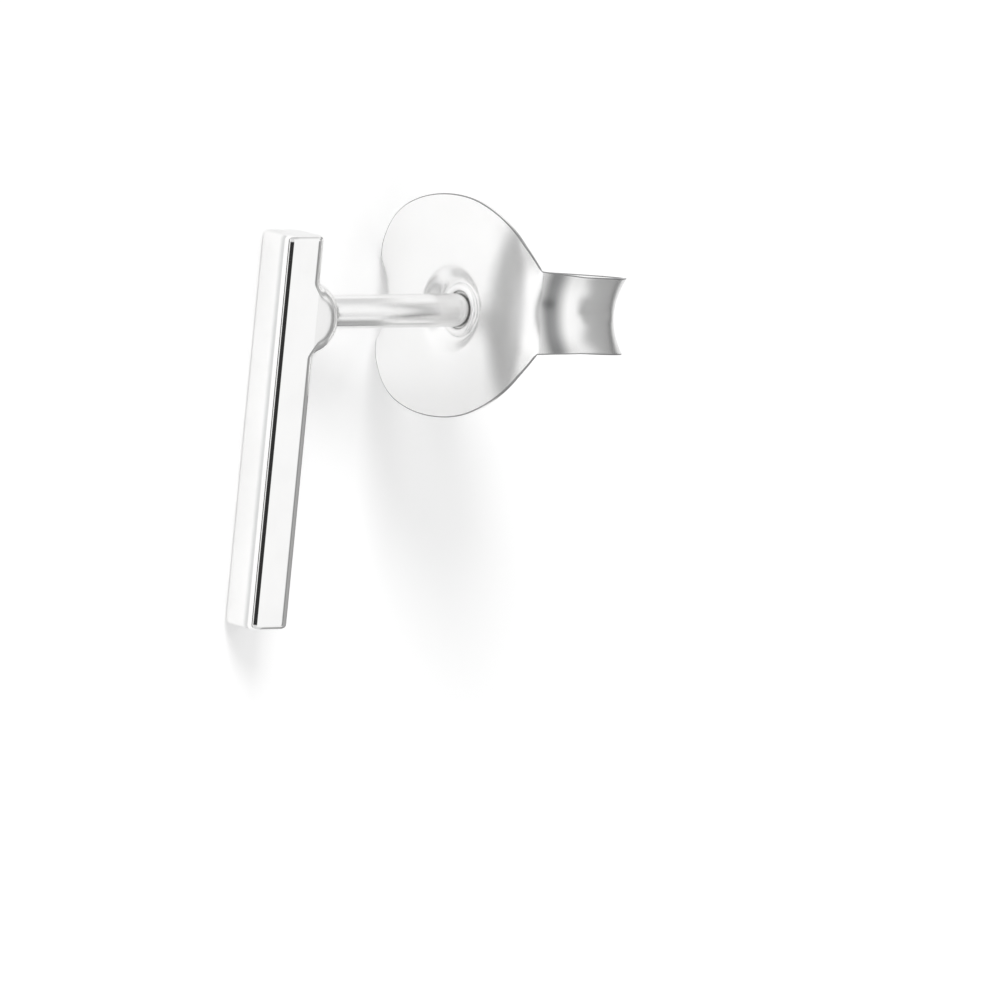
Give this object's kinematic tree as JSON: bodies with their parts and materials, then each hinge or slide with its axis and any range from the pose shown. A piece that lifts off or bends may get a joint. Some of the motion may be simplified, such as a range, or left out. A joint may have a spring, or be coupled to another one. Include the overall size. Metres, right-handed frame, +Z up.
{
  "type": "bar ear stud with butterfly clutch",
  "caption": "Slim upright bar ear stud in polished silver, its post soldered near the top, with a stamped butterfly clutch that slides along the post; lying at rest.",
  "frame": {"origin": "on the floor below the middle of the stud's box, with the stud lying on its side", "axes": "+Y along the bar towards its top end, +X from the bar towards the clutch along the floor, +Z up from the floor"},
  "size_m": [0.0098, 0.0104, 0.0067],
  "materials": {
    "stud_silver": "mirror-polished sterling silver, cast or drawn bar with rounded edges",
    "clutch_silver": "bright polished sterling silver sheet, stamped and rolled"
  },
  "bodies": {
    "stud": {"bar_stud": "stud_silver"},
    "clutch": {"butterfly_clutch": "clutch_silver"}
  },
  "joints": [
    {"name": "clutch_slide", "type": "slide", "parent": "stud", "child": "clutch", "axis": [0.9126, 0, 0.4087], "range_m": [-0.004, 0.0055]}
  ]
}
